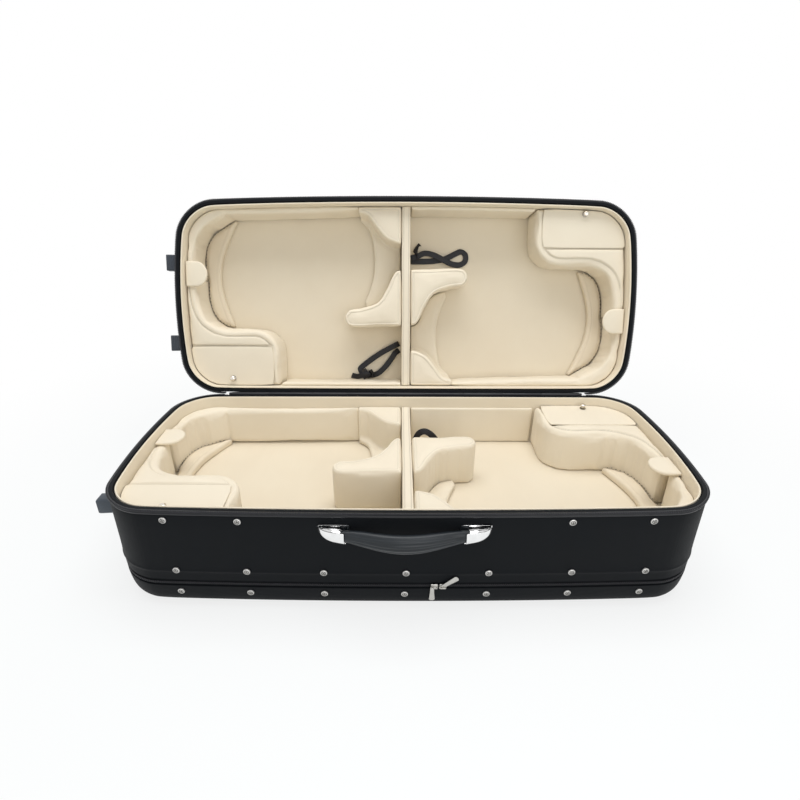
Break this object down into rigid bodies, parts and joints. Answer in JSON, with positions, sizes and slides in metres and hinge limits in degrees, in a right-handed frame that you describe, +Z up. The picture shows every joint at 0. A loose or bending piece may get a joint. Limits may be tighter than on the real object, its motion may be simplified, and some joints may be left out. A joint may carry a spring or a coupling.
{
  "type": "violin case",
  "caption": "Oblong hinged hard case for several violins, open, with cream foam bays in base and lid, a zipped bottom pocket and a carrying handle.",
  "frame": {"origin": "middle of the underside, where the bottom pocket stands on the ground", "axes": "+Z up, +X along the length towards the right end seen from the handle side, +Y from the handle side to the hinge"},
  "size_m": [0.9187, 0.6387, 0.5372],
  "materials": {
    "nylon_cloth": "black woven nylon, matte",
    "zip_tape": "black ribbed zip tape and piping",
    "cream_lining": "cream short-pile suede cloth",
    "cream_foam": "cream suede cloth over foam",
    "cream_plush": "cream plush over foam, a shade deeper",
    "black_ribbon": "black woven ribbon",
    "grip_leather": "dark grey, creased, slight sheen",
    "cap_chrome": "bright polished",
    "nickel": "nickel plated, satin to bright",
    "hinge_steel": "black, satin",
    "foot_plastic": "dark grey moulded",
    "knob_metal": "turned, bright"
  },
  "bodies": {
    "base": {"base_divider": "cream_foam", "base_foot_back": "foot_plastic", "base_foot_front": "foot_plastic", "base_left_corner_foam": "cream_foam", "base_left_crescent": "cream_plush", "base_left_end_foam": "cream_foam", "base_left_neck_tie": "black_ribbon", "base_left_s_foam": "cream_foam", "base_left_wing": "cream_foam", "base_lining": "cream_lining", "base_right_corner_foam": "cream_foam", "base_right_crescent": "cream_plush", "base_right_end_foam": "cream_foam", "base_right_neck_tie": "black_ribbon", "base_right_s_foam": "cream_foam", "base_right_wing": "cream_foam", "base_rim_zip": "zip_tape", "base_shell": "nylon_cloth", "handle_cap_left": "cap_chrome", "handle_cap_right": "cap_chrome", "handle_grip": "grip_leather", "hinge_leaf_base": "hinge_steel", "rim_slider_left": "nickel", "rim_slider_right": "nickel"},
    "lid": {"hinge_leaf_lid": "hinge_steel", "lid_divider": "cream_foam", "lid_foot_lower": "foot_plastic", "lid_foot_upper": "foot_plastic", "lid_left_corner_foam": "cream_foam", "lid_left_crescent": "cream_plush", "lid_left_end_foam": "cream_foam", "lid_left_neck_tie": "black_ribbon", "lid_left_s_foam": "cream_foam", "lid_left_wing": "cream_foam", "lid_lining": "cream_lining", "lid_right_corner_foam": "cream_foam", "lid_right_crescent": "cream_plush", "lid_right_end_foam": "cream_foam", "lid_right_neck_tie": "black_ribbon", "lid_right_s_foam": "cream_foam", "lid_right_wing": "cream_foam", "lid_rim_zip": "zip_tape", "lid_shell": "nylon_cloth"},
    "base_left_flap": {"base_left_box_flap": "cream_foam", "base_left_flap_knob": "knob_metal"},
    "base_left_tab": {"base_left_end_tab": "cream_foam"},
    "base_right_flap": {"base_right_box_flap": "cream_foam", "base_right_flap_knob": "knob_metal"},
    "base_right_tab": {"base_right_end_tab": "cream_foam"},
    "pocket": {"bottom_pocket": "nylon_cloth"},
    "lid_left_flap": {"lid_left_box_flap": "cream_foam", "lid_left_flap_knob": "knob_metal"},
    "lid_left_tab": {"lid_left_end_tab": "cream_foam"},
    "lid_right_flap": {"lid_right_box_flap": "cream_foam", "lid_right_flap_knob": "knob_metal"},
    "lid_right_tab": {"lid_right_end_tab": "cream_foam"},
    "pull_left": {"pocket_pull_left": "nickel"},
    "pull_right": {"pocket_pull_right": "nickel"},
    "slider_left": {"pocket_slider_left": "nickel"},
    "slider_right": {"pocket_slider_right": "nickel"}
  },
  "joints": [
    {"name": "lid_hinge", "type": "hinge", "parent": "base", "child": "lid", "pos_m": [0, 0.1889, 0.1786], "axis": [1, 0, 0], "range_deg": [0, 108.2]},
    {"name": "base_left_flap_crease", "type": "hinge", "parent": "base", "child": "base_left_flap", "pos_m": [-0.34, -0.09651, 0.1586], "axis": [1, 0, 0], "range_deg": [-90, 0]},
    {"name": "base_left_tab_crease", "type": "hinge", "parent": "base", "child": "base_left_tab", "pos_m": [-0.43164, 0.04486, 0.1647], "axis": [0, 1, 0], "range_deg": [-90, 0]},
    {"name": "base_right_flap_crease", "type": "hinge", "parent": "base", "child": "base_right_flap", "pos_m": [0.34, 0.09651, 0.1586], "axis": [-1, 0, 0], "range_deg": [-90, 0]},
    {"name": "base_right_tab_crease", "type": "hinge", "parent": "base", "child": "base_right_tab", "pos_m": [0.4308, -0.04486, 0.1647], "axis": [0, -1, 0], "range_deg": [-90, 0]},
    {"name": "lid_left_flap_crease", "type": "hinge", "parent": "lid", "child": "lid_left_flap", "pos_m": [-0.34, 0.23675, 0.26012], "axis": [1, 0, 0], "range_deg": [-90, 0]},
    {"name": "lid_left_tab_crease", "type": "hinge", "parent": "lid", "child": "lid_left_tab", "pos_m": [-0.4308, 0.27512, 0.39633], "axis": [0, 0.3123, 0.95], "range_deg": [-90, 0]},
    {"name": "lid_right_flap_crease", "type": "hinge", "parent": "lid", "child": "lid_right_flap", "pos_m": [0.34, 0.29704, 0.44349], "axis": [-1, 0, 0], "range_deg": [-90, 0]},
    {"name": "lid_right_tab_crease", "type": "hinge", "parent": "lid", "child": "lid_right_tab", "pos_m": [0.43164, 0.24709, 0.31109], "axis": [0, -0.3123, -0.95], "range_deg": [-90, 0]},
    {"name": "pocket_hinge", "type": "hinge", "parent": "base", "child": "pocket", "pos_m": [0, 0.1855, 0.0471], "axis": [1, 0, 0], "range_deg": [0, 30]},
    {"name": "slider_left_slide", "type": "slide", "parent": "base", "child": "slider_left", "axis": [1, 0, 0], "range_m": [-0.3, 0]},
    {"name": "slider_right_slide", "type": "slide", "parent": "base", "child": "slider_right", "axis": [1, 0, 0], "range_m": [0, 0.3]},
    {"name": "pull_left_swing", "type": "hinge", "parent": "slider_left", "child": "pull_left", "pos_m": [0.0352, -0.19065, 0.0468], "axis": [0, 1, 0], "range_deg": [-45, 150]},
    {"name": "pull_right_swing", "type": "hinge", "parent": "slider_right", "child": "pull_right", "pos_m": [0.0477, -0.19065, 0.0468], "axis": [0, 1, 0], "range_deg": [-100, 0]}
  ]
}
